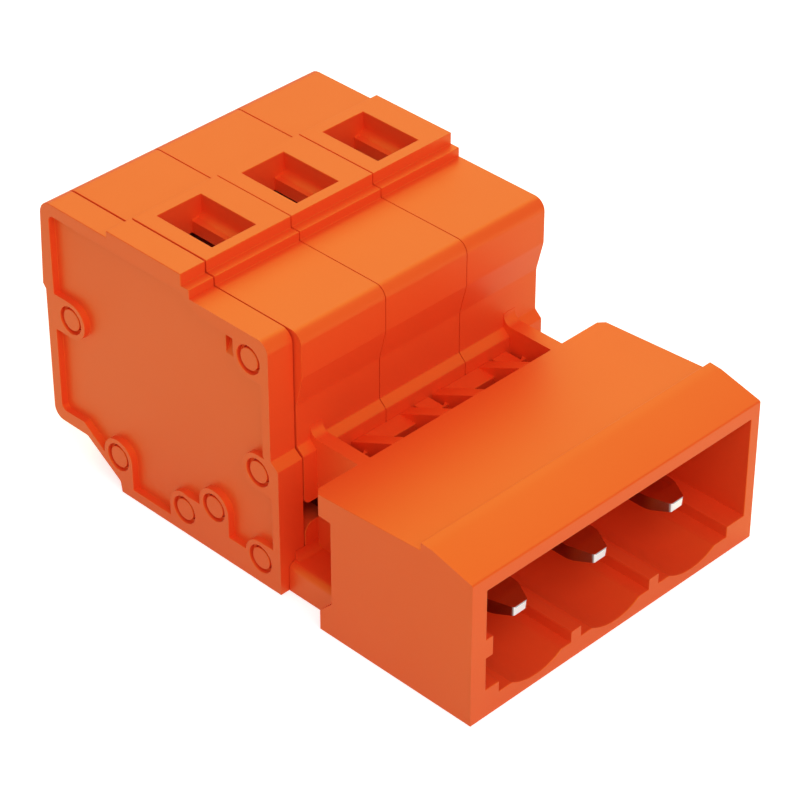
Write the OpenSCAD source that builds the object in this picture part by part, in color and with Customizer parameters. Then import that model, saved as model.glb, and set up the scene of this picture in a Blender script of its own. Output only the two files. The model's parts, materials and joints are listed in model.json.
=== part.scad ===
// Pluggable terminal block, male half, 5.08 mm pitch, with cage clamp connection.
// Wires enter from the rear (+Y), the screwdriver goes in from the top (+Z) and the pins
// leave through the shroud at the front (-Y). The block stands on its flat underside.
// Lengths are in millimetres. Heights are above the underside. Depths are distances from
// the joint plane, where the clamp bodies meet the shroud: behind it in the clamp body
// sections, in front of it in the shroud section.

/* [Poles] */
// Distance from pole to pole
pitch = 5.08; // [4.6:0.02:7.62]
// Closed side wall of each pole housing
wall_t = 0.64; // [0.5:0.02:1]
// Seam between two pole housings
seam_gap = 0.04; // [0.02:0.01:0.08]
// End plate
plate_t = 1.45; // [1.2:0.05:2]
// Seam between the end plate and its housing
plate_gap = 0.07; // [0.02:0.01:0.1]

/* [Clamp body] */
// Depth of the clamp body behind the joint plane
body_depth = 15.57; // [14.5:0.01:19]
// Height of the highest part, round the screwdriver openings
body_h = 14.36; // [14:0.01:18]
// Drop from the highest part to the rear top
rear_drop = 0.34; // [0.2:0.01:0.6]
// Drop from the highest part to the narrow shelf in front of it
shelf_drop = 0.58; // [0.3:0.01:0.8]
// Drop from the highest part to the front top
front_drop = 1.05; // [0.9:0.01:1.3]
// Length of the highest part
block_len = 4.88; // [4.6:0.01:5.6]
// Rear top behind the highest part
tail_len = 4.78; // [4.4:0.01:5.4]
// Depth of the narrow shelf
shelf_len = 0.52; // [0.3:0.01:0.8]
// Round along the front top edge
front_r = 0.6; // [0.4:0.05:1.4]
// Round along the rear top edge
rear_r = 0.75; // [0.3:0.05:1]
// Height of the underside at the rear
tail_h = 2.06; // [1.4:0.01:2.4]
// Depth of the shallow waist across the front faces
waist_t = 0.4; // [0.2:0.01:0.6]
// Set-back of the end plate's front edge at the waist
plate_setback = 0.475; // [0.3:0.005:0.7]

/* [Pegs that join the housings] */
// Radius of the pegs
peg_r = 0.55; // [0.4:0.01:0.65]
// Radial clearance of a peg in its hole
peg_gap = 0.03; // [0.02:0.01:0.06]
// How far the pegs' ends stay below the end plate's face
peg_recess = 0.05; // [0:0.01:0.1]
// Radius of the sunk ring at the mouth of each hole
peg_ring_r = 0.71; // [0.62:0.01:0.75]
// Depth of that ring
peg_ring_t = 0.25; // [0.1:0.01:0.4]
// Depth of the sunk field in the end plate
field_t = 0.35; // [0.1:0.01:0.5]
// Radius of the bosses left standing round the pegs
boss_r = 0.97; // [0.8:0.01:1.05]

/* [Openings] */
// Screwdriver opening across the pole
tool_w = 2.6; // [2.2:0.05:3]
// Screwdriver opening along the pole
tool_len = 3.6; // [3:0.05:4]
// Width of the ledge inside the screwdriver opening
tool_ledge_w = 0.6; // [0.4:0.05:1]
// Depth of that ledge below the top
tool_ledge_t = 1.16; // [0.8:0.01:1.4]
// Fillet where that ledge meets the walls
tool_ledge_r = 0.4; // [0.1:0.05:0.5]
// Round on the lips of the slot that each contact lies in
lip_r = 0.35; // [0.1:0.05:0.5]
// Radius of the wire entry
wire_r = 1.6; // [1.2:0.05:1.7]
// Height of the wire entry's axis
wire_z = 5.25; // [5.1:0.01:5.3]
// Radius of the funnel at the mouth of the wire entry
funnel_r = 1.95; // [1.75:0.05:2.1]
// Length of that funnel
funnel_len = 0.7; // [0.4:0.05:1]

/* [Contacts] */
// Height of the pins' centre line
pin_z = 3.53; // [3.45:0.01:3.6]
// Thickness of the contact strip
strip_t = 0.7; // [0.5:0.05:0.8]
// Width of the pin
pin_w = 1.8; // [1.4:0.05:2.2]
// Width of the pin's tip
tip_w = 0.8; // [0.5:0.05:1.2]
// Thickness of the pin's tip
tip_t = 0.44; // [0.3:0.02:0.5]
// Length over which the pin narrows to its tip
nose_len = 1.1; // [0.8:0.1:1.6]
// Width of the clamping bar
bar_w = 3.2; // [2.8:0.1:3.6]
// Height of the clamping bar's underside, where the wire is pressed
bar_z = 6.3; // [6.2:0.01:6.4]
// Clearance round the contact in the plastic
fit_gap = 0.03; // [0.02:0.01:0.06]

/* [Cage springs] */
// Thickness of the spring strip
spring_t = 0.4; // [0.3:0.05:0.5]
// Width of the spring strip
spring_w = 3.6; // [3:0.1:3.8]
// Width of the window that the bar passes through
window_w = 2.4; // [2:0.1:2.6]
// How far the screwdriver presses the spring down
spring_travel = 1.9; // [1:0.1:2]

/* [Shroud] */
// Distance from the joint plane to the open rim
shroud_len = 12; // [10.5:0.1:14.5]
// Shroud beyond the outer poles on each side
shroud_side = 4.1; // [3.8:0.05:4.6]
// Height of the roof at the rim
rim_h = 7.61; // [7.5:0.01:7.9]
// Height of the roof's crest
crest_h = 8.24; // [8:0.01:8.5]
// Distance from the rim to the crest
crest_len = 3; // [2:0.1:4]
// Drop behind the crest
crest_drop = 0.42; // [0.2:0.01:0.5]
// Height of the roof's rear edge
eave_h = 7.42; // [7.2:0.01:7.5]
// Distance of the roof's rear edge from the joint plane
eave_y = 2.55; // [2.2:0.01:2.8]
// Distance of the shroud's rear wall from the joint plane
back_y = 3.62; // [3.3:0.01:3.8]
// Thickness of that rear wall
back_t = 1; // [0.8:0.05:1.5]
// Height of the inside of the roof
ceiling_h = 6.88; // [6.6:0.01:7]
// Height of the inner floor's ribs and end blocks
floor_h = 1.5; // [1.2:0.01:1.8]
// Left side wall
left_wall_t = 0.9; // [0.6:0.01:1.1]
// Right side wall
right_wall_t = 0.56; // [0.4:0.01:1]
// Height of the flange that lies against the pole housings
flange_h = 6.2; // [6:0.01:6.4]
// Thickness of that flange
flange_t = 1.05; // [0.8:0.01:1.2]
// Distance from each pole to the ribs on both sides of it
rib_in = 0.68; // [0.62:0.01:0.8]
// Thickness of those ribs
rib_t = 0.73; // [0.5:0.01:0.8]
// Height of the bridge under the ribs
bridge_h = 1.55; // [1.2:0.05:1.8]
// Chamfer at the roof's rear corners
eave_chamfer = 0.34; // [0.1:0.01:0.6]
// Width of the key along the left inner wall
key_w = 0.42; // [0.2:0.01:0.5]
// Distance that the pin tips stay behind the rim
pin_setback = 1; // [0.5:0.05:2]

/* [Hidden] */
$fn = 48;
poles = 3;
cut = 0.1;            // overshoot of every cutting solid
arc_step = 15;        // angle between the points of a rounded corner
feather = 0.02;       // thinnest edge of a fillet that lies against its neighbour
joint_y = (shroud_len - body_depth) / 2;
shroud_w = (poles - 1) * pitch + 2 * shroud_side;
chamber_w = pitch - wall_t - seam_gap;
housing_left = -chamber_w / 2;
housing_right = housing_left + pitch - seam_gap;
plate_left = housing_left - plate_gap - plate_t;

// Heights of the clamp body's steps
rear_h = body_h - rear_drop;
shelf_h = body_h - shelf_drop;
front_h = body_h - front_drop;
// Depths of the clamp body's steps
block_rear = body_depth - tail_len;
block_front = block_rear - block_len;
shelf_front = block_front - shelf_len;
rear_y = body_depth - 0.2;
// Underside: flat to the heel, then up to the tail
heel_y = block_rear - 0.04;
heel_h = 0.58;
tail_y = body_depth - 2.52;
// Waist across the front faces, and the end plate's matching step
waist_top = front_h - 2.27;
waist_upper = front_h - 3.88;
waist_lower = flange_h + 1.04;
waist_bottom = flange_h + 0.68;
// The slight bulge of the rear face
bulge_z = body_h - 4.96;

// Places of the joining pegs, as depth and height
PEGS = [
    [body_depth - 1.85, bulge_z - 1.22],
    [heel_y + 0.15, tail_h - 0.14],
    [6.385, 1.33],
    [4.35, 2.56],
    [1.72, front_h - 1.36],
    [1.34, flange_h - 0.07],
    [1.33, 1.34]
];
peg_len = plate_gap + plate_t - peg_recess;

// Contact: pin, riser and clamping bar
pin_bottom = pin_z - strip_t / 2;
riser_y = 2.3;
bar_top = bar_z + strip_t;
tongue_w = window_w - 0.2;

// Chamber of the clamp, with room under the spring's leg for its travel
leg_foot = bar_z - 1.25;
chamber_front = riser_y + 0.95;
chamber_rear = block_rear + 1.41;
chamber_floor = leg_foot - spring_travel - 0.1;
chamber_top = front_h - 0.76;
bar_end = chamber_rear - 0.3;
// Passage of the contact through the housing's front wall
passage_bottom = pin_bottom - fit_gap;
passage_top = passage_bottom + strip_t + 0.4;

// Cage spring
leg_y = chamber_rear - 0.9;
crown_top = chamber_top - 0.25;
bow_y = block_front + 0.69;
window_top = bar_top + spring_t + 1.5;
run_end = leg_y - spring_t - 0.25;

// Shroud
cavity_left = -shroud_w / 2 + left_wall_t;
cavity_right = shroud_w / 2 - right_wall_t;
cavity_y = back_y + back_t;
eave_bottom = eave_h - 1.15;
step_y = back_y - 0.74;
rib_out = rib_in + rib_t;

function pole_x(i) = (i - (poles + 1) / 2) * pitch;
function unit(v) = v / norm(v);

// Points of one corner of an outline, rounded to radius r
function corner(before, at, after, r) =
    r == 0 ? [at] :
    let (
        a = unit(before - at),
        b = unit(after - at),
        half = acos(a * b) / 2,
        centre = at + unit(a + b) * r / sin(half),
        start = at + a * r / tan(half) - centre,
        turn = (a.x * b.y - a.y * b.x > 0 ? -1 : 1) * (180 - 2 * half),
        steps = ceil(abs(turn) / arc_step)
    )
    [for (k = [0:steps]) let (t = turn * k / steps)
        centre + [start.x * cos(t) - start.y * sin(t), start.x * sin(t) + start.y * cos(t)]];

// Outline whose corners are given as [x, y, radius]
function rounded(corners) =
    let (n = len(corners))
    [for (i = [0:n - 1]) let (p = corners[(i + n - 1) % n], q = corners[i], s = corners[(i + 1) % n])
        each corner([p.x, p.y], [q.x, q.y], [s.x, s.y], q.z)];

// Extrudes an outline of depths and heights along +X
module across(from, to) {
    translate([from, 0, 0]) rotate([90, 0, 90]) linear_extrude(to - from) children();
}

// Extrudes an outline of widths and heights from one depth to another
module through(from, to) {
    translate([0, to, 0]) rotate([90, 0, 0]) linear_extrude(to - from) children();
}

// Round bar or hole along +X
module cross_bar(at, from, to, r) {
    translate([from, at.x, at.y]) rotate([0, 90, 0]) cylinder(h = to - from, r = r);
}

// Side outline shared by the pole housings and the end plate, behind its front edge
function body_outline(front_edge) = rounded(concat(
    [
        [heel_y, 0, 0], [heel_y + 0.1, heel_h, 0.2], [tail_y, tail_h, 0.3], [rear_y, tail_h, 0.6],
        [rear_y, bulge_z - 0.25, 0], [body_depth, bulge_z, 0], [rear_y, rear_h, rear_r],
        [block_rear, rear_h, 0], [block_rear, body_h, 0], [block_front, body_h, 0],
        [block_front, shelf_h, 0], [shelf_front, shelf_h, 0], [shelf_front, front_h, 0]
    ],
    front_edge
));

module housing_outline() {
    polygon(body_outline([
        [0, front_h, front_r], [0, waist_top, 0.6], [waist_t, waist_upper, 0.6],
        [waist_t, waist_lower, 0.15], [0, waist_bottom, 0.15], [0, 0, 0]
    ]));
}

module plate_outline() {
    polygon(body_outline([
        [plate_setback, front_h, front_r], [plate_setback, waist_lower - 0.08, 0.1],
        [0.02, waist_bottom - 0.07, 0.1], [0.02, 0, 0]
    ]));
}

// Holes for the next housing's pegs, with their sunk rings, from a face towards +X or -X
module peg_holes(face, way, depth) {
    for (at = PEGS) {
        ends = [face - way * cut, face + way * depth];
        ring = [face - way * cut, face + way * peg_ring_t];
        cross_bar(at, min(ends), max(ends), peg_r + peg_gap);
        cross_bar(at, min(ring), max(ring), peg_ring_r);
    }
}

// Round boss that runs on as a tab of its own width for a distance in one direction
module boss(at, way, reach) {
    side = [way.y, -way.x] * boss_r;
    near = at - way * boss_r;
    far = at + way * reach;
    ends = [near - side, near + side, far + side, far - side];
    r = boss_r - feather;
    polygon(rounded([for (k = [0:3]) [ends[k].x, ends[k].y, k < 2 ? r : 0]]));
}

// Outline of the end plate's sunk field, between its rims and the bosses round the pegs
module field_outline() {
    rear_rim_y = body_depth - 0.77;
    low_rim = 0.55;
    front_rim_z = 1.4;
    boss_edge = PEGS[3].x - boss_r;
    difference() {
        polygon(rounded([
            [0.5, front_rim_z, 0.2], [boss_edge, front_rim_z, 0], [boss_edge, low_rim, 0],
            [heel_y - 0.6, low_rim, 0.2], [tail_y + 0.2, tail_h + 0.68, 0.2],
            [rear_rim_y, tail_h + 0.64, 0.3], [rear_rim_y, rear_h - 0.62, 0.3],
            [block_front, rear_h - 0.62, 0.2], [shelf_front - 0.5, front_h - 0.65, 0.2],
            [plate_setback + 0.5, front_h - 0.65, 0.4], [plate_setback + 0.5, waist_lower, 0.2],
            [0.5, waist_bottom - 0.4, 0.2]
        ]));
        boss(PEGS[0], [1, 0], 2);
        boss(PEGS[1], [0, -1], 2);
        boss(PEGS[2], [0, -1], 2);
        boss(PEGS[3], [0, -1], 3);
        boss(PEGS[4], [0, 1], 2);
        boss(PEGS[4], [-1, 0], 2);
        boss(PEGS[5], [-1, 0], 2);
        boss(PEGS[6], [-1, 0], 2);
        // Web in the valley between the two bosses on the underside
        translate([PEGS[3].x, 0]) square([PEGS[2].x - PEGS[3].x, PEGS[2].y + boss_r - 0.05]);
    }
}

// Wedge in the sunk field beside the front boss, deepest at its top
module plate_nick() {
    nick_y = PEGS[4].x + boss_r + 0.01;
    nick_top = PEGS[4].y + 0.25;
    nick_len = 0.9;
    nick_w = 0.79;
    nick_t = 0.5;
    through(nick_y, nick_y + nick_w) polygon([
        [-cut, nick_top - nick_len], [field_t, nick_top - nick_len],
        [field_t + nick_t, nick_top], [-cut, nick_top]
    ]);
}

module end_plate() {
    color("darkorange")
    translate([pole_x(1) + plate_left, joint_y, 0])
    difference() {
        across(0, plate_t) plate_outline();
        across(-cut, field_t) field_outline();
        plate_nick();
        peg_holes(0, 1, plate_t + cut);
    }
}

// Space for the clamp inside a housing, open on the left where the neighbour closes it
module clamp_chamber() {
    left = housing_left - cut;
    right = chamber_w / 2;
    difference() {
        across(left, right) polygon(rounded([
            [chamber_front, chamber_floor, 0.3], [chamber_rear, chamber_floor, 0.3],
            [chamber_rear, chamber_top, 0.5], [chamber_front, chamber_top, 0.5]
        ]));
        for (at = [PEGS[1], PEGS[3]]) cross_bar(at, left - cut, right + cut, boss_r);
    }
    // Pocket of the riser
    across(left, right) polygon([
        [riser_y - 0.05, passage_bottom], [chamber_front + cut, passage_bottom],
        [chamber_front + cut, bar_top + 0.5], [riser_y - 0.05, bar_top + 0.5]
    ]);
    // Slot of the pin, open on the left, with its lips rounded there
    through(-cut, riser_y) polygon(rounded([
        [left, passage_bottom - 1, 0], [housing_left, passage_bottom - 1, 0],
        [housing_left, passage_bottom, lip_r + 0.2], [pin_w / 2 + 0.23, passage_bottom, 0],
        [pin_w / 2 + 0.23, passage_top, 0], [housing_left, passage_top, lip_r],
        [housing_left, passage_top + 1, 0], [left, passage_top + 1, 0]
    ]));
}

// Screwdriver opening in the top, with a ledge on the right that curves up into the wall
module tool_opening() {
    front = (block_front + block_rear - tool_len) / 2 - 0.02;
    rear = front + tool_len;
    half_w = tool_w / 2;
    ledge_z = body_h - tool_ledge_t;
    rear_ledge_r = tool_ledge_r / 4;
    top = body_h + cut;
    translate([-half_w, front, chamber_top - cut])
        cube([tool_w - tool_ledge_w, tool_len, top - chamber_top + cut]);
    intersection() {
        through(front, rear + cut) polygon(rounded([
            [-half_w, ledge_z, 0], [half_w, ledge_z, tool_ledge_r], [half_w, top, 0], [-half_w, top, 0]
        ]));
        across(-tool_w, tool_w) polygon(rounded([
            [front - cut, ledge_z, 0], [rear, ledge_z, rear_ledge_r],
            [rear, top + cut, 0], [front - cut, top + cut, 0]
        ]));
    }
}

// Funnel and round hole for the wire, from the rear
module wire_entry() {
    translate([0, chamber_rear - cut, wire_z])
        rotate([-90, 0, 0]) cylinder(h = body_depth, r = wire_r);
    translate([0, rear_y - funnel_len, wire_z])
        rotate([-90, 0, 0]) cylinder(h = funnel_len + cut, r1 = wire_r, r2 = funnel_r);
}

module pole_housing(i) {
    color("orangered")
    translate([pole_x(i), joint_y, 0]) {
        difference() {
            across(housing_left, housing_right) housing_outline();
            clamp_chamber();
            tool_opening();
            wire_entry();
            peg_holes(housing_right, -1, peg_len + peg_gap);
        }
        for (at = PEGS) cross_bar(at, housing_left - peg_len, housing_left + cut, peg_r);
    }
}

// Roof, sides and floor of the shroud as one side outline
module shroud_outline() {
    polygon(rounded([
        [-shroud_len, 0, 0], [-shroud_len, rim_h, 0.1], [-shroud_len + 2.33, crest_h - 0.05, 0],
        [-shroud_len + crest_len, crest_h, 0.05], [-shroud_len + crest_len, crest_h - crest_drop, 0],
        [-eave_y, eave_h, 0.05], [-eave_y, eave_bottom, 0], [-back_y, eave_bottom, 0],
        [-back_y, 1.8, 0.1], [-step_y, 1.06, 0.1], [-step_y, 0, 0]
    ]));
}

// Mating cavity: flat ceiling, dividers between the poles, a shallow trough under each pin
module cavity() {
    pocket_h = 0.93;
    trough_r = 2.9;
    trough_h = 0.48;
    divider_w = 0.64;
    divider_shift = -0.05;
    left_block_w = 0.84;
    right_block_w = 1.17;
    key_bottom = pin_z - 0.3;
    key_h = 1.02;
    half_pocket = (pitch - divider_w) / 2;
    through(-shroud_len - cut, -cavity_y) difference() {
        union() {
            translate([cavity_left, floor_h])
                square([cavity_right - cavity_left, ceiling_h - floor_h]);
            for (i = [1:poles]) {
                left = i == 1 ? cavity_left + left_block_w : pole_x(i) - half_pocket + divider_shift;
                right = i == poles ? cavity_right - right_block_w : pole_x(i) + half_pocket + divider_shift;
                translate([left, pocket_h]) square([right - left, floor_h]);
                translate([pole_x(i), trough_h + trough_r]) circle(trough_r);
            }
        }
        translate([cavity_left - cut, key_bottom]) square([key_w + cut, key_h]);
    }
}

// Walls that carry the shroud's box in front of the housings: sloping ribs beside each
// pole, and at each end a level bar with a fillet against its housing
module ribs() {
    bar_fillet_r = 0.45;
    bar_lip = waist_t - feather;
    bar_lip_z = eave_h + bar_fillet_r + cut;
    rib_outline = rounded([
        [-back_y - cut, 0, 0], [0, 0, 0], [0, flange_h, 0], [-eave_y, eave_h, 0],
        [-eave_y, eave_h - cut, 0], [-back_y - cut, eave_h - cut, 0]
    ]);
    bar_outline = rounded([
        [-back_y - cut, 0, 0], [0, 0, 0], [0, waist_bottom, 0.15], [waist_t, waist_lower, 0.15],
        [waist_t, bar_lip_z, 0], [bar_lip, bar_lip_z, 0], [bar_lip, eave_h, bar_fillet_r],
        [-back_y - cut, eave_h, 0]
    ]);
    for (i = [1:poles], side = [-1, 1]) {
        ends = [pole_x(i) + side * rib_in, pole_x(i) + side * rib_out];
        outermost = pole_x(i) * side == pole_x(poles);
        across(min(ends), max(ends)) polygon(outermost ? bar_outline : rib_outline);
    }
}

// Wall that lies against the housings, with a round notch and a centre rib at each pole
module flange() {
    notch_r = 1.05;
    notch_floor = passage_top + 0.3;
    centre_w = 0.92;
    half_w = pole_x(poles) + rib_out;
    difference() {
        translate([-half_w, -flange_t, 0]) cube([2 * half_w, flange_t, flange_h]);
        for (i = [1:poles])
            translate([pole_x(i), 0, notch_floor]) cylinder(h = flange_h, r = notch_r);
    }
    for (i = [1:poles])
        translate([pole_x(i) - centre_w / 2, -flange_t, notch_floor - cut])
            cube([centre_w, flange_t, flange_h - notch_floor + cut]);
}

// Bridge between the box and the housings, filleted against both, with rounded side edges
module bridge() {
    left = pole_x(1) + plate_left + 0.5;
    right = pole_x(poles) + housing_right - 0.5;
    side_r = 0.35;
    fillet_r = 0.35;
    inset = side_r + 0.05;
    box_lip = -back_y + 0.1;
    lip_z = bridge_h + fillet_r + cut;
    through(-back_y - cut, 0) polygon(rounded([
        [left, 0, 0], [right, 0, 0], [right, bridge_h, side_r], [left, bridge_h, side_r]
    ]));
    across(left + inset, right - inset) polygon(rounded([
        [-back_y - cut, 0, 0], [0, 0, 0], [0, lip_z, 0], [-feather, lip_z, 0],
        [-feather, bridge_h, fillet_r], [box_lip, bridge_h, fillet_r],
        [box_lip, lip_z, 0], [-back_y - cut, lip_z, 0]
    ]));
}

module male_shroud() {
    slot_w = pin_w + 2 * fit_gap;
    color("tomato")
    translate([0, joint_y, 0])
    difference() {
        union() {
            difference() {
                across(-shroud_w / 2, shroud_w / 2) shroud_outline();
                cavity();
            }
            ribs();
            flange();
            bridge();
        }
        for (i = [1:poles])
            translate([pole_x(i) - slot_w / 2, -cavity_y - cut, passage_bottom])
                cube([slot_w, cavity_y + 2 * cut, strip_t + 2 * fit_gap]);
        for (side = [-1, 1])
            translate([side * shroud_w / 2, -eave_y, eave_bottom - cut]) rotate([0, 0, 45])
                translate([-eave_chamfer, -eave_chamfer, 0] / sqrt(2))
                    cube([eave_chamfer * sqrt(2), eave_chamfer * sqrt(2), eave_h]);
    }
}

// One stamped and bent strip: pin, riser and clamping bar, tapered to the tip of the pin
module contact(i) {
    tip_y = -shroud_len + pin_setback;
    thin_len = 0.9;
    pin_top = pin_bottom + strip_t;
    profile = rounded([
        [tip_y, pin_z - tip_t / 2, 0.08], [tip_y + thin_len, pin_bottom, 0.6],
        [riser_y + strip_t, pin_bottom, strip_t], [riser_y + strip_t, bar_z, 0.2],
        [bar_end, bar_z, 0.05], [bar_end, bar_top, 0.05], [riser_y, bar_top, strip_t],
        [riser_y, pin_top, 0.2], [tip_y + thin_len, pin_top, 0.6], [tip_y, pin_z + tip_t / 2, 0.08]
    ]);
    right_edge = [
        [tip_w / 2, tip_y, 0.25], [pin_w / 2, tip_y + nose_len, 1.2], [pin_w / 2, riser_y - 0.02, 0],
        [bar_w / 2, riser_y, 0], [bar_w / 2, leg_y - 0.6, 0.3], [tongue_w / 2, leg_y - 0.5, 0],
        [tongue_w / 2, bar_end, 0.3]
    ];
    last = len(right_edge) - 1;
    left_edge = [for (k = [last:-1:0]) let (p = right_edge[k]) [-p.x, p.y, p.z]];
    color("gainsboro")
    translate([pole_x(i), joint_y, 0])
    intersection() {
        across(-bar_w, bar_w) polygon(profile);
        linear_extrude(bar_top + 1) polygon(rounded(concat(right_edge, left_edge)));
    }
}

// One strip of spring steel, bent into a cage: its lower run lies on the bar, its bow turns
// up and back over it, and its leg comes down round the bar's end with a window in it
module cage_spring(i) {
    low = bar_top;
    bow_r = (crown_top - low) / 2;
    outer_r = bow_r - 0.01;
    inner_r = outer_r - spring_t;
    leg_r = 0.7;
    bow_front = max(bow_y - bow_r, chamber_front + 0.3);
    strip = rounded([
        [run_end, low, 0], [run_end, low + spring_t, 0],
        [bow_front + spring_t, low + spring_t, inner_r],
        [bow_front + spring_t, crown_top - spring_t, inner_r],
        [leg_y - spring_t, crown_top - spring_t, leg_r], [leg_y - spring_t, leg_foot, 0],
        [leg_y, leg_foot, 0], [leg_y, crown_top, leg_r + spring_t],
        [bow_front, crown_top, outer_r], [bow_front, low, outer_r]
    ]);
    color("silver")
    translate([pole_x(i), joint_y, 0]) {
        difference() {
            across(-spring_w / 2, spring_w / 2) polygon(strip);
            translate([-window_w / 2, leg_y - spring_t - cut, bar_z])
                cube([window_w, spring_t + 2 * cut, window_top - bar_z]);
        }
        // Narrow end of the lower run, which passes through the window
        translate([-tongue_w / 2, run_end - cut, low])
            cube([tongue_w, bar_end - run_end, spring_t]);
    }
}

end_plate();
pole_housing(1);  // pole_housing_1
pole_housing(2);  // pole_housing_2
pole_housing(3);  // pole_housing_3
male_shroud();
contact(1);  // contact_1
contact(2);  // contact_2
contact(3);  // contact_3
cage_spring(1);  // cage_spring_1
cage_spring(2);  // cage_spring_2
cage_spring(3);  // cage_spring_3
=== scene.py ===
"""Visual model of a three-pole pluggable terminal block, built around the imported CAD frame."""

from __future__ import annotations

import json
import logging
import math
from dataclasses import dataclass
from enum import Enum

import bmesh
import bpy
import numpy as np
from mathutils import Matrix, Vector

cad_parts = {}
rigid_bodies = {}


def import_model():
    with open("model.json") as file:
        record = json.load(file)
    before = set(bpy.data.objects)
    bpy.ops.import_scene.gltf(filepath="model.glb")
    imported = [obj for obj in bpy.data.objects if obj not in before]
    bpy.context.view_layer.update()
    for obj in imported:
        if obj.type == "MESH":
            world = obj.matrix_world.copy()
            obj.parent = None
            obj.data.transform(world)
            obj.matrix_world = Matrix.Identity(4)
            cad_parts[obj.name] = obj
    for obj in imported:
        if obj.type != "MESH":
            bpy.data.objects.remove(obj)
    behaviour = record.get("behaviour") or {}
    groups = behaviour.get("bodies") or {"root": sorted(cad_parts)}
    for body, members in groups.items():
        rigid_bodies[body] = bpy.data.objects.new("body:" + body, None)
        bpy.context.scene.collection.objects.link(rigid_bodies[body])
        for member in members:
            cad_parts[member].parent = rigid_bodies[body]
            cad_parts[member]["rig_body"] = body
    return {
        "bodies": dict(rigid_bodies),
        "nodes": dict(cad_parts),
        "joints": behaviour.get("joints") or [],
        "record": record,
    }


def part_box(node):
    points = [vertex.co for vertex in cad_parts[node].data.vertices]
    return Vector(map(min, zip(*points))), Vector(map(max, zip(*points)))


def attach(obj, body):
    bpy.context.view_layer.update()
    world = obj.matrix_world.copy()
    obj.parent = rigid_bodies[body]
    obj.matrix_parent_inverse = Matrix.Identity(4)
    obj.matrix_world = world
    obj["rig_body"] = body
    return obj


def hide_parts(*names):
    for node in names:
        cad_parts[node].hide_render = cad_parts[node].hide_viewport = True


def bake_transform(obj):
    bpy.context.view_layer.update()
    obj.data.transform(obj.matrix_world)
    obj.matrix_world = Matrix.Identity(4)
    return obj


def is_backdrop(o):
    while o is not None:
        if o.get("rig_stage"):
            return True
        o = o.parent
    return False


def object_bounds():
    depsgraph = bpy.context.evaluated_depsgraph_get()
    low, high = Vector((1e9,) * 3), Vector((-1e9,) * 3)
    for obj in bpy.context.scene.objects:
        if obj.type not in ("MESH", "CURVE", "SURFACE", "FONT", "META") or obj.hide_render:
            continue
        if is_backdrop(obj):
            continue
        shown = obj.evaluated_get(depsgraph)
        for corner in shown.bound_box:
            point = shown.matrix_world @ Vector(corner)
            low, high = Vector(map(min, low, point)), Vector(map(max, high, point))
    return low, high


LOG = logging.getLogger("terminal_block")
MM = 0.001
POLES = (1, 2, 3)

# Numbers of the Mix node's colour sockets, because sockets of its other types share their names.
MIX_FIRST, MIX_SECOND, MIX_RESULT = 6, 7, 2
# How far the smoothest spots of a finish lie below its roughness.
ROUGHNESS_SPREAD = 0.05
# Least length that a vector is divided by, in place of zero.
TINY = 1e-12

Colour = tuple[float, float, float]
Point = tuple[float, float, float]
EdgeValues = dict[bmesh.types.BMEdge, float]


class Slot(Enum):
    """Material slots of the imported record."""

    PLASTIC = "orange_plastic"
    CONTACT = "tinned_copper"
    SPRING = "spring_steel"


class Wire:
    """An output socket in a shader, with arithmetic that adds Math nodes."""

    def __init__(self, shader: Shader, source: object) -> None:
        """Wraps an output socket.

        Args:
            shader: The shader that new Math nodes go into.
            source: An output socket.
        """
        self.shader = shader
        self.source = source

    def _math(self, operation: str, first: object, second: object) -> Wire:
        """Adds one Math node and returns its output."""
        return self.shader.node("ShaderNodeMath", {"operation": operation}, {0: first, 1: second})

    def __add__(self, other: object) -> Wire:
        """Sum of two values."""
        return self._math("ADD", self, other)

    def __radd__(self, other: object) -> Wire:
        """Sum with a number on the left."""
        return self._math("ADD", other, self)

    def __sub__(self, other: object) -> Wire:
        """Difference of two values."""
        return self._math("SUBTRACT", self, other)

    def __rsub__(self, other: object) -> Wire:
        """Difference with a number on the left."""
        return self._math("SUBTRACT", other, self)

    def __mul__(self, other: object) -> Wire:
        """Product of two values."""
        return self._math("MULTIPLY", self, other)

    def __rmul__(self, other: object) -> Wire:
        """Product with a number on the left."""
        return self._math("MULTIPLY", other, self)


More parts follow.
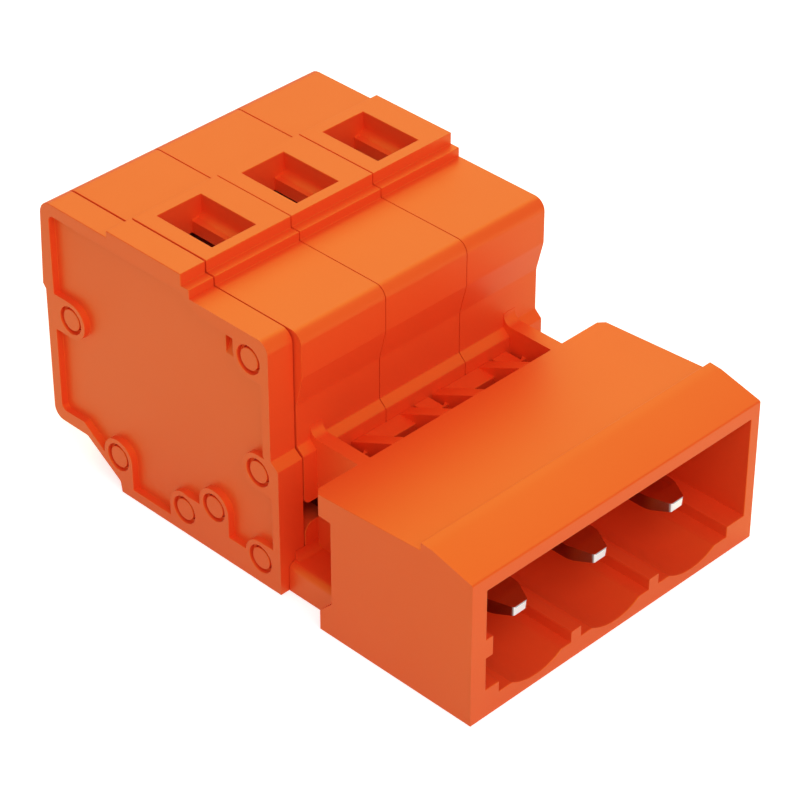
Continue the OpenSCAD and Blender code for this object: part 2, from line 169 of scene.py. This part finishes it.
class Shader:
    """One material under construction."""

    def __init__(self, name: str) -> None:
        """Makes an empty node material.

        Args:
            name: Name of the material.
        """
        self.material = bpy.data.materials.new(name)
        self.material.use_nodes = True
        self.tree = self.material.node_tree
        self.tree.nodes.clear()
        self.output = self.tree.nodes.new("ShaderNodeOutputMaterial")

    def node(
        self,
        kind: str,
        settings: dict[str, object] | None = None,
        inputs: dict[str | int, object] | None = None,
        out: str | int = 0,
    ) -> Wire:
        """Adds a node, sets it up and links its inputs.

        Args:
            kind: Blender's name of the node type.
            settings: Properties of the node.
            inputs: Values or wires of its sockets, by name or number.
            out: The output socket to return.

        Returns:
            The chosen output.
        """
        made = self.tree.nodes.new(kind)
        for key, value in (settings or {}).items():
            setattr(made, key, value)
        for key, value in (inputs or {}).items():
            socket = made.inputs[key]
            if isinstance(value, Wire):
                self.tree.links.new(value.source, socket)
            else:
                socket.default_value = value
        return Wire(self, made.outputs[out])

    def place(self) -> Wire:
        """Position on the piece, in metres."""
        return self.node("ShaderNodeTexCoord", out="Object")

    def facing_x(self, start: float, end: float) -> Wire:
        """Tells how squarely the surface faces along X, to either side.

        Args:
            start: Share of X in the piece's own normal that gives 0.
            end: Share of X that gives 1.

        Returns:
            A value from 0 to 1.
        """
        normal = self.node("ShaderNodeTexCoord", out="Normal")
        across = self.node("ShaderNodeSeparateXYZ", {}, {"Vector": normal}, out="X")
        size = self.node("ShaderNodeMath", {"operation": "ABSOLUTE"}, {0: across})
        limits = {"Value": size, "From Min": start, "From Max": end}
        return self.node("ShaderNodeMapRange", {"clamp": True}, limits)

    def noise(self, scale: float, detail: float, roughness: float = 0.5) -> Wire:
        """Fractal noise on the piece.

        Args:
            scale: Waves for each metre.
            detail: Octaves.
            roughness: Weight of the finer octaves.

        Returns:
            The noise, about 0.5 on average.
        """
        inputs = {"Vector": self.place(), "Scale": scale, "Detail": detail, "Roughness": roughness}
        return self.node("ShaderNodeTexNoise", {"noise_dimensions": "3D"}, inputs, out="Fac")

    def blend(self, amount: Wire, first: Colour | Wire, second: Colour | Wire) -> Wire:
        """Mixes two colours.

        Args:
            amount: Share of the second colour.
            first: Colour where the amount is 0.
            second: Colour where the amount is 1.

        Returns:
            The mixed colour.
        """
        pair = [tone if isinstance(tone, Wire) else (*tone, 1.0) for tone in (first, second)]
        inputs = {"Factor": amount, MIX_FIRST: pair[0], MIX_SECOND: pair[1]}
        settings = {"data_type": "RGBA", "blend_type": "MIX"}
        return self.node("ShaderNodeMix", settings, inputs, out=MIX_RESULT)

    def bump(self, height: Wire, distance: float, strength: float) -> Wire:
        """Turns a height into a normal.

        Args:
            height: Relative height.
            distance: Height in metres of a step of 1.
            strength: Share of the effect.

        Returns:
            The normal.
        """
        inputs = {"Height": height, "Distance": distance, "Strength": strength}
        return self.node("ShaderNodeBump", {}, inputs)

    def finish(self, surface: Wire) -> bpy.types.Material:
        """Links the surface to the material's output and returns the material."""
        self.tree.links.new(surface.source, self.output.inputs["Surface"])
        return self.material


@dataclass(frozen=True)
class MouldedPlastic:
    """Coloured polyamide from a spark-eroded mould: even colour, fine satin grain."""

    name: str
    colour: Colour
    shade: Colour
    roughness: float = 0.42
    cloud_scale: float = 180.0
    cloud_roughness: float = 0.06
    grain_scale: float = 9000.0
    grain_roughness: float = 0.05
    grain_height: float = 0.004 * MM
    grain_strength: float = 0.35
    specular: float = 1.0
    tint: Colour = (0.75, 0.95, 0.02)

    def material(self) -> bpy.types.Material:
        """Builds the material.

        Returns:
            The finished material.
        """
        shader = Shader(self.name)
        clouds = shader.noise(self.cloud_scale, detail=3.0)
        grain = shader.noise(self.grain_scale, detail=2.0, roughness=0.6)
        colour = shader.blend(clouds, self.colour, self.shade)
        smoothest = self.roughness - ROUGHNESS_SPREAD
        rough = smoothest + clouds * self.cloud_roughness + grain * self.grain_roughness
        surface = shader.node(
            "ShaderNodeBsdfPrincipled",
            {},
            {
                "Base Color": colour,
                "Roughness": rough,
                "Specular IOR Level": self.specular,
                "Specular Tint": (*self.tint, 1.0),
                "Normal": shader.bump(grain, self.grain_height, self.grain_strength),
            },
        )
        return shader.finish(surface)


@dataclass(frozen=True)
class PlatedMetal:
    """Rolled and plated strip: fine lines along it, painted shade on its X-facing sides and a
    painted highlight on its front end.
    """

    name: str
    colour: Colour
    shade: Colour
    roughness: float = 0.1
    cloud_scale: float = 700.0
    cloud_roughness: float = 0.06
    line_scale: Point = (9000.0, 400.0, 9000.0)
    line_roughness: float = 0.04
    line_height: float = 0.002 * MM
    line_strength: float = 0.2
    # Painted shade: a darker colour for the sides that face along X.
    side_shade: Colour | None = None
    side_shade_facing: tuple[float, float] = (0.5, 0.8)
    # Painted highlight: the last end_depth of the pin is near-white, fading into the strip's
    # colour.
    end_y: float | None = None
    end_depth: float = 0.04 * MM
    end_highlight: Colour = (0.95, 0.95, 0.94)

    def _tone(self, shader: Shader, clouds: Wire) -> Wire:
        """Colour of the strip, with painted shade on its X-facing sides and a painted highlight on
        its front end.

        Args:
            shader: The material under construction.
            clouds: Slow noise that varies the strip's tone.

        Returns:
            The colour.
        """
        strip = shader.blend(clouds, self.colour, self.shade)
        # Painted shade: the sides that face along X take the darker colour.
        if self.side_shade is not None:
            strip = shader.blend(shader.facing_x(*self.side_shade_facing), strip, self.side_shade)
        if self.end_y is None:
            return strip
        # Painted highlight: the pin's front end takes a near-white colour.
        along = shader.node("ShaderNodeSeparateXYZ", {}, {"Vector": shader.place()}, out="Y")
        depth = along - self.end_y
        limits = {"Value": depth, "From Min": self.end_depth, "From Max": 2 * self.end_depth}
        inside = shader.node("ShaderNodeMapRange", {"clamp": True}, limits)
        return shader.blend(inside, self.end_highlight, strip)

    def material(self) -> bpy.types.Material:
        """Builds the material.

        Returns:
            The finished material.
        """
        shader = Shader(self.name)
        stretch = {"Vector": shader.place(), "Scale": self.line_scale}
        along = shader.node("ShaderNodeMapping", {"vector_type": "POINT"}, stretch)
        lines = shader.node(
            "ShaderNodeTexNoise",
            {"noise_dimensions": "3D"},
            {"Vector": along, "Scale": 1.0, "Detail": 2.0},
            out="Fac",
        )
        clouds = shader.noise(self.cloud_scale, detail=3.0)
        smoothest = self.roughness - ROUGHNESS_SPREAD
        rough = smoothest + clouds * self.cloud_roughness + lines * self.line_roughness
        surface = shader.node(
            "ShaderNodeBsdfPrincipled",
            {},
            {
                "Base Color": self._tone(shader, clouds),
                "Metallic": 1.0,
                "Roughness": rough,
                "Normal": shader.bump(lines, self.line_height, self.line_strength),
            },
        )
        return shader.finish(surface)


@dataclass(frozen=True)
class Edges:
    """Rounding along a piece's outer edges, and fillets in its inner corners.

    The work is done in millimetres, because Blender's tolerances are too coarse in metres for
    edges of a few hundredths of a millimetre. An edge is rounded where its faces turn by more
    than sharper_than_deg, and shaded smoothly where they turn by less than smoother_than_deg.
    """

    outer_mm: float
    inner_mm: float
    segments: int = 3
    sharper_than_deg: float = 26.0
    smoother_than_deg: float = 35.0
    merge_mm: float = 0.0005
    flat_deg: float = 0.3
    corner_half_deg: float = 80.0
    share: float = 0.42
    least_mm: float = 0.012
    ray_places: tuple[float, ...] = (0.1, 0.5, 0.9)
    touching_mm: float = 0.0001
    run_on_deg: float = 30.0

    def soften(self, source: bpy.types.Object, name: str) -> bpy.types.Object:
        """Copies a CAD node, joins its loose triangles and rounds its edges.

        Args:
            source: The CAD node.
            name: Name of the new piece.

        Returns:
            The new piece, in the frame's own metres.
        """
        worker = bpy.data.objects.new(name + "_work", self._joined(source.data, name))
        bpy.context.scene.collection.objects.link(worker)
        bevel = worker.modifiers.new("round", "BEVEL")
        bevel.width = max(self.outer_mm, self.inner_mm)
        bevel.segments = self.segments
        bevel.limit_method = "WEIGHT"
        bevel.use_clamp_overlap = False
        bevel.miter_outer = "MITER_SHARP"
        graph = bpy.context.evaluated_depsgraph_get()
        made = bpy.data.meshes.new_from_object(worker.evaluated_get(graph), depsgraph=graph)
        bpy.data.objects.remove(worker)
        made.name = name
        self._shade(made)
        made.transform(Matrix.Scale(MM, 4))
        piece = bpy.data.objects.new(name, made)
        bpy.context.scene.collection.objects.link(piece)
        return piece

    def _joined(self, source: bpy.types.Mesh, name: str) -> bpy.types.Mesh:
        """Copies a mesh into millimetres, with its flats joined and its edges weighted.

        Args:
            source: The CAD node's mesh of loose triangles.
            name: Name of the new piece.

        Returns:
            The joined mesh, whose bevel weights are set.
        """
        work = bmesh.new()
        work.from_mesh(source)
        bmesh.ops.scale(work, vec=Vector((1 / MM, 1 / MM, 1 / MM)), verts=work.verts)
        bmesh.ops.remove_doubles(work, verts=work.verts, dist=self.merge_mm)
        bmesh.ops.dissolve_degenerate(work, edges=work.edges, dist=self.merge_mm)
        flat = math.radians(self.flat_deg)
        bmesh.ops.dissolve_limit(work, angle_limit=flat, verts=work.verts, edges=work.edges)
        work.normal_update()
        for face in work.faces:
            face.smooth = True
        self._weigh(work)
        mesh = bpy.data.meshes.new(name + "_work")
        work.to_mesh(mesh)
        work.free()
        return mesh

    def _weigh(self, work: bmesh.types.BMesh) -> None:
        """Gives each sharp edge its share of the widest rounding, as its place allows.

        Args:
            work: The joined mesh.
        """
        layer = work.edges.layers.float.new("bevel_weight_edge")
        sharp = math.radians(self.sharper_than_deg)
        turns = {edge: edge.calc_face_angle_signed(0.0) for edge in work.edges}
        widths = {
            edge: self.outer_mm if turn > 0 else self.inner_mm
            for edge, turn in turns.items()
            if abs(turn) > sharp
        }
        for region in self._regions(work, turns):
            self._limit(region, turns, widths)
        self._even_out(widths)
        widest = max(self.outer_mm, self.inner_mm)
        for edge, width in widths.items():
            if width >= self.least_mm:
                edge[layer] = width / widest

    def _regions(
        self, work: bmesh.types.BMesh, turns: EdgeValues
    ) -> list[list[bmesh.types.BMFace]]:
        """Groups the faces that touch and lie in one plane.

        Args:
            work: The joined mesh.
            turns: Angle between the faces at each edge.

        Returns:
            The faces of each flat.
        """
        flat = math.radians(self.flat_deg)
        done = set()
        regions = []
        for seed in work.faces:
            if seed in done:
                continue
            done.add(seed)
            region = [seed]
            for face in region:
                level = (edge for edge in face.edges if abs(turns[edge]) <= flat)
                for beside in (other for edge in level for other in edge.link_faces):
                    if beside not in done:
                        done.add(beside)
                        region.append(beside)
            regions.append(region)
        return regions

    def _limit(
        self, region: list[bmesh.types.BMFace], turns: EdgeValues, widths: EdgeValues
    ) -> None:
        """Narrows the rounding of a flat's edges to what fits on the flat.

        From three places on each edge, a ray runs over the flat at right angles to the edge.
        The nearest other edge that it crosses sets the room. In a corner of angle a, with
        a / 2 under corner_half_deg, the offsets of its two edges use width / tan(a / 2) of
        their lengths.

        Args:
            region: The faces of one flat.
            turns: Angle between the faces at each edge.
            widths: Width of each rounded edge, which this lowers.
        """
        flat = math.radians(self.flat_deg)
        loops = [loop for face in region for loop in face.loops if abs(turns[loop.edge]) > flat]
        if not any(loop.edge in widths for loop in loops):
            return
        from_vert = {loop.vert: k for k, loop in enumerate(loops)}
        ends = [loop.link_loop_next.vert for loop in loops]
        after = np.array([from_vert.get(vert, k) for k, vert in enumerate(ends)])
        start = np.array([loop.vert.co for loop in loops])
        step = np.array([vert.co for vert in ends]) - start
        length = np.linalg.norm(step, axis=1)
        along = step / np.maximum(length, TINY)[:, None]
        up = np.array(region[0].normal)
        inward = np.cross(up, along)
        room = self.share * self._room(start, step, along, inward, after)
        half = np.arccos(np.clip(-np.einsum("ij,ij->i", along, along[after]), -1.0, 1.0)) / 2
        turns_in = np.einsum("ij,ij->i", inward, along[after]) > 0
        tight = turns_in & (half < math.radians(self.corner_half_deg))
        short = np.minimum(length, length[after])
        reach = self.share * short * np.tan(np.where(tight, half, 0.0))
        np.minimum.at(room, np.nonzero(tight)[0], reach[tight])
        np.minimum.at(room, after[tight], reach[tight])
        for loop, limit in zip(loops, room):
            if loop.edge in widths:
                widths[loop.edge] = min(widths[loop.edge], float(limit))

    def _room(
        self,
        start: np.ndarray,
        step: np.ndarray,
        along: np.ndarray,
        inward: np.ndarray,
        after: np.ndarray,
    ) -> np.ndarray:
        """Finds how far each edge of an outline is from the outline's opposite side.

        Args:
            start: Start of each edge.
            step: The way from each edge's start to its end.
            along: Unit vector of that way.
            inward: Unit vector at right angles to it, over the flat.
            after: Number of the edge that follows each edge.

        Returns:
            The distance for each edge, or infinity where no ray meets another edge.
        """
        count = len(start)
        beside = np.eye(count, dtype=bool)
        beside[np.arange(count), after] = True
        beside[after, np.arange(count)] = True
        room = np.full(count, np.inf)
        for place in self.ray_places:
            origin = start + step * place
            offset = start[None, :, :] - origin[:, None, :]
            across = np.einsum("ijk,ik->ij", offset, along)
            ahead = np.einsum("ijk,ik->ij", offset, inward)
            with np.errstate(divide="ignore", invalid="ignore"):
                share = -across / (along @ step.T)
                reach = ahead + share * (inward @ step.T)
            hit = (share >= 0) & (share <= 1) & (reach > self.touching_mm) & ~beside
            room = np.minimum(room, np.where(hit, reach, np.inf).min(axis=1))
        return room

    def _even_out(self, widths: EdgeValues) -> None:
        """Gives edges that run on into each other the narrowest rounding of their run.

        Args:
            widths: Width of each rounded edge, which this lowers.
        """
        nearly_straight = math.cos(math.radians(self.run_on_deg))
        done = set()
        for seed in sorted(widths, key=widths.get):
            stack = [seed]
            while stack:
                edge = stack.pop()
                if edge in done:
                    continue
                done.add(edge)
                way = (edge.verts[1].co - edge.verts[0].co).normalized()
                for other in (e for vert in edge.verts for e in vert.link_edges):
                    if other in done or other not in widths:
                        continue
                    turn = (other.verts[1].co - other.verts[0].co).normalized()
                    if abs(way.dot(turn)) > nearly_straight:
                        widths[other] = min(widths[other], widths[edge])
                        stack.append(other)

    def _shade(self, mesh: bpy.types.Mesh) -> None:
        """Sets the normals, so that flats stay flat and roundings shade smoothly.

        The normal at a face's corner is the mean of the normals of the faces that meet there
        and turn from it by less than a limit, each weighted by its area.

        Args:
            mesh: The rounded mesh.
        """
        normal = np.empty(len(mesh.polygons) * 3)
        area = np.empty(len(mesh.polygons))
        size = np.empty(len(mesh.polygons), dtype=np.int32)
        vert = np.empty(len(mesh.loops), dtype=np.int32)
        mesh.polygons.foreach_get("normal", normal)
        mesh.polygons.foreach_get("area", area)
        mesh.polygons.foreach_get("loop_total", size)
        mesh.loops.foreach_get("vertex_index", vert)
        normal = normal.reshape(-1, 3)
        face = np.repeat(np.arange(len(size)), size)
        order = np.argsort(vert, kind="stable")
        met = np.bincount(vert, minlength=len(mesh.vertices))
        begin = (np.cumsum(met) - met)[vert]
        each = met[vert]
        mine = np.repeat(np.arange(len(vert)), each)
        shift = np.arange(len(mine)) - np.repeat(np.cumsum(each) - each, each)
        other = order[np.repeat(begin, each) + shift]
        facing = normal[face[other]]
        turn = np.einsum("ij,ij->i", normal[face[mine]], facing)
        weight = area[face[other]] * (turn > math.cos(math.radians(self.smoother_than_deg)))
        sums = [np.bincount(mine, weight * facing[:, axis], len(vert)) for axis in range(3)]
        mean = np.stack(sums, axis=1)
        mean /= np.maximum(np.linalg.norm(mean, axis=1), TINY)[:, None]
        mesh.normals_split_custom_set(mean)


@dataclass(frozen=True)
class Flex:
    """How a cage spring would bend: its lower run stays on the bar, its crown and leg go down."""

    held_by: str = "block"
    run_bottom_mm: float = 7.0
    strip_mm: float = 0.4
    tongue_half_mm: float = 1.15
    bow_share: float = 0.7
    leg_share: float = 0.78
    margin_mm: float = 0.05

    def bend(self, piece: bpy.types.Object, body: str) -> None:
        """Bakes a spring's place into its mesh and works out each point's share of a bend, which
        is not applied.

        Args:
            piece: The spring, in place and with no parent.
            body: The body that a screwdriver presses down. Not used.
        """
        places = np.empty(len(piece.data.vertices) * 3, np.float32)
        piece.data.vertices.foreach_get("co", places)
        x, y, z = places.reshape(-1, 3).astype(float).T / MM
        run_top = self.run_bottom_mm + self.strip_mm
        centre = (x.min() + x.max()) / 2
        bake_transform(piece)
        weights = self._weights(x - centre, y, z, run_top).astype(np.float32)

    def _weights(self, x: np.ndarray, y: np.ndarray, z: np.ndarray, run_top: float) -> np.ndarray:
        """Finds each point's share of the travel.

        It is 0 on the lower run and its narrow end, rises round the bow along a smooth step of
        the height, and falls evenly over the crown to leg_share, which the whole leg has.

        Args:
            x: Distance of each point from the spring's middle, in millimetres.
            y: Depth of each point.
            z: Height of each point.
            run_top: Height of the lower run's upper face.

        Returns:
            The shares, from 0 to 1.
        """
        leg_front = y[z < self.run_bottom_mm - self.margin_mm].min()
        rise = np.clip((z - run_top) / (self.bow_share * (z.max() - run_top)), 0, 1)
        back = np.clip((y - y.min()) / (leg_front - y.min()), 0, 1)
        weights = rise * rise * (3 - 2 * rise) * (1 - back * (1 - self.leg_share))
        in_run = (z > self.run_bottom_mm - self.margin_mm) & (z < run_top + self.margin_mm)
        tongue = in_run & (np.abs(x) < self.tongue_half_mm)
        weights[(y > leg_front - self.margin_mm) & ~tongue] = self.leg_share
        return weights


@dataclass
class Assembly:
    """Pieces that share a finish and the rounding of their edges."""

    nodes: tuple[str, ...]
    slot: Slot
    finish: MouldedPlastic | PlatedMetal
    edges: Edges
    suffix: str
    flex: Flex | None = None

    def build(self, frame: dict) -> list[bpy.types.Object]:
        """Builds every piece of the assembly around its CAD node.


        Returns:
            The new pieces.
        """
        material = self.finish.material()
        pieces = []
        for node in self.nodes:
            source = frame["nodes"][node]
            piece = self.edges.soften(source, f"{node}_{self.suffix}")
            piece.data.materials.clear()
            piece.data.materials.append(material)
            if self.flex is None:
                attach(piece, source["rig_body"])
            else:
                self.flex.bend(piece, source["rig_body"])
            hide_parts(node)
            pieces.append(piece)
            LOG.info("%s: %d faces", piece.name, len(piece.data.polygons))
        return pieces


@dataclass(frozen=True)
class Viewpoint:
    """The camera: where it stands, what it aims at and its lens."""

    azimuth_deg: float = 45.04
    elevation_deg: float = 35.27
    distance_mm: float = 141.21
    lens_mm: float = 142.34
    sensor_mm: float = 36.0
    clip_m: tuple[float, float] = (0.01, 10.0)
    aim_offset_mm: Point = (-0.862, -1.070, 0.473)
    shift: tuple[float, float] = (0.0046, -0.0304)

    def build(self, centre: Vector) -> bpy.types.Object:
        """Makes the camera and hands it to the scene.

        Args:
            centre: Centre of the object's box.

        Returns:
            The camera.
        """
        azimuth, elevation = math.radians(self.azimuth_deg), math.radians(self.elevation_deg)
        forward = Vector((
            math.sin(azimuth) * math.cos(elevation),
            math.cos(azimuth) * math.cos(elevation),
            -math.sin(elevation),
        ))
        aim = centre + Vector(self.aim_offset_mm) * MM
        data = bpy.data.cameras.new("camera")
        data.lens = self.lens_mm
        data.sensor_width = self.sensor_mm
        data.shift_x, data.shift_y = self.shift
        data.clip_start, data.clip_end = self.clip_m
        camera = bpy.data.objects.new("camera", data)
        camera.location = aim - forward * self.distance_mm * MM
        camera.rotation_euler = forward.to_track_quat("-Z", "Y").to_euler()
        bpy.context.scene.collection.objects.link(camera)
        bpy.context.scene.camera = camera
        return camera


@dataclass(frozen=True)
class Softbox:
    """One soft lamp, placed round the object's centre."""

    name: str
    azimuth_deg: float
    elevation_deg: float
    distance_mm: float
    size_mm: float
    power: float
    colour: Colour = (1.0, 1.0, 1.0)

    def build(self, centre: Vector) -> bpy.types.Object:
        """Makes the lamp, facing the centre.

        Args:
            centre: The point that the lamp faces.

        Returns:
            The lamp.
        """
        azimuth, elevation = math.radians(self.azimuth_deg), math.radians(self.elevation_deg)
        way = Vector((
            -math.sin(azimuth) * math.cos(elevation),
            -math.cos(azimuth) * math.cos(elevation),
            math.sin(elevation),
        ))
        data = bpy.data.lights.new(self.name, "AREA")
        data.shape = "SQUARE"
        data.size = self.size_mm * MM
        data.energy = self.power
        data.color = self.colour
        lamp = bpy.data.objects.new(self.name, data)
        lamp.location = centre + way * self.distance_mm * MM
        lamp.rotation_euler = way.to_track_quat("Z", "Y").to_euler()
        bpy.context.scene.collection.objects.link(lamp)
        return lamp


@dataclass
class Studio:
    """White floor, soft world and soft lamps."""

    floor_mm: float = 1500.0
    floor_gap_mm: float = 0.01
    floor_white: float = 0.62
    floor_mirrored: float = 0.5
    floor_grey: float = 0.88
    world_light: float = 0.49
    lamps: tuple[Softbox, ...] = (
        Softbox("back_lamp", -135.0, 45.0, 300.0, 260.0, 0.3, (1.0, 1.0, 0.33)),
        Softbox("key_lamp", 31.0, 47.0, 300.0, 170.0, 0.23),
        Softbox("front_lamp", 4.0, 22.0, 300.0, 170.0, 0.085),
    )

    def build(self, centre: Vector, floor_z: float) -> None:
        """Makes the floor, the world and the lamps.

        Args:
            centre: Centre of the object.
            floor_z: Height that the object stands on.
        """
        self._floor(floor_z)
        self._world()
        for lamp in self.lamps:
            lamp.build(centre)

    def _floor(self, floor_z: float) -> None:
        """Makes a floor that looks white and keeps the object's shadow.

        Args:
            floor_z: Height that the object stands on.
        """
        half = self.floor_mm * MM / 2
        z = floor_z - self.floor_gap_mm * MM
        mesh = bpy.data.meshes.new("floor")
        corners = [(-half, -half, z), (half, -half, z), (half, half, z), (-half, half, z)]
        mesh.from_pydata(corners, [], [(0, 1, 2, 3)])
        floor = bpy.data.objects.new("floor", mesh)
        bpy.context.scene.collection.objects.link(floor)
        shader = Shader("studio_floor")
        seen = shader.node("ShaderNodeLightPath", out="Is Camera Ray")
        mirrored = shader.node("ShaderNodeLightPath", out="Is Glossy Ray")
        through = shader.node("ShaderNodeLightPath", out="Is Transmission Ray")
        grey = (self.floor_grey,) * 3
        matt = shader.node("ShaderNodeBsdfDiffuse", {}, {"Color": (*grey, 1.0)})
        glow = seen + through + mirrored * self.floor_mirrored
        white = shader.node(
            "ShaderNodeEmission",
            {},
            {"Color": (1.0, 1.0, 1.0, 1.0), "Strength": glow * self.floor_white},
        )
        both = shader.node("ShaderNodeAddShader", {}, {0: matt, 1: white})
        mesh.materials.append(shader.finish(both))
        floor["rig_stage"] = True

    def _world(self) -> None:
        """Makes a white world that lights the object softly."""
        world = bpy.data.worlds.new("studio")
        bpy.context.scene.world = world
        world.use_nodes = True
        tree = world.node_tree
        tree.nodes.clear()
        path = tree.nodes.new("ShaderNodeLightPath")
        lit = tree.nodes.new("ShaderNodeBackground")
        lit.inputs["Strength"].default_value = self.world_light
        seen = tree.nodes.new("ShaderNodeBackground")
        mix = tree.nodes.new("ShaderNodeMixShader")
        output = tree.nodes.new("ShaderNodeOutputWorld")
        for background in (lit, seen):
            background.inputs["Color"].default_value = (1.0, 1.0, 1.0, 1.0)
        tree.links.new(path.outputs["Is Camera Ray"], mix.inputs[0])
        tree.links.new(lit.outputs[0], mix.inputs[1])
        tree.links.new(seen.outputs[0], mix.inputs[2])
        tree.links.new(mix.outputs[0], output.inputs["Surface"])


def assemblies() -> tuple[Assembly, ...]:
    """The block's sub-assemblies, in the order that they are built.

    Returns:
        One assembly for each kind of piece.
    """
    pin_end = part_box("contact_1")[0][1]
    plastic = MouldedPlastic("moulded_orange", (0.96, 0.074, 0.019), (0.94, 0.071, 0.018))
    tin = PlatedMetal(
        "tin_plate",
        (0.66, 0.62, 0.6),
        (0.6, 0.56, 0.54),
        roughness=0.16,
        # Painted shade on the pins' X-facing sides and a painted highlight on their front ends.
        side_shade=(0.28, 0.2, 0.18),
        end_y=pin_end,
    )
    steel = PlatedMetal("spring_strip", (0.62, 0.6, 0.57), (0.55, 0.53, 0.5), roughness=0.3)
    return (
        Assembly(
            ("end_plate", *(f"pole_housing_{i}" for i in POLES), "male_shroud"),
            Slot.PLASTIC, plastic, Edges(0.035, 0.025), "moulding",
        ),
        Assembly(
            tuple(f"contact_{i}" for i in POLES),
            Slot.CONTACT, tin, Edges(0.11, 0.08), "strip",
        ),
        Assembly(
            tuple(f"cage_spring_{i}" for i in POLES),
            Slot.SPRING, steel, Edges(0.03, 0.08), "strip", Flex(),
        ),
    )


def main() -> None:
    """Builds the scene around the frame."""
    logging.basicConfig(level=logging.INFO, format="%(name)s: %(message)s")
    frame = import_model()
    cad_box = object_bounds()
    low, high = (Vector(corner) for corner in cad_box)
    centre = (low + high) / 2
    bpy.context.scene.view_settings.view_transform = "Standard"
    Viewpoint().build(centre)
    Studio().build(centre, low.z)
    for assembly in assemblies():
        pieces = assembly.build(frame)
        LOG.info("%s: %d pieces", assembly.slot.value, len(pieces))


if __name__ == "__main__":
    main()
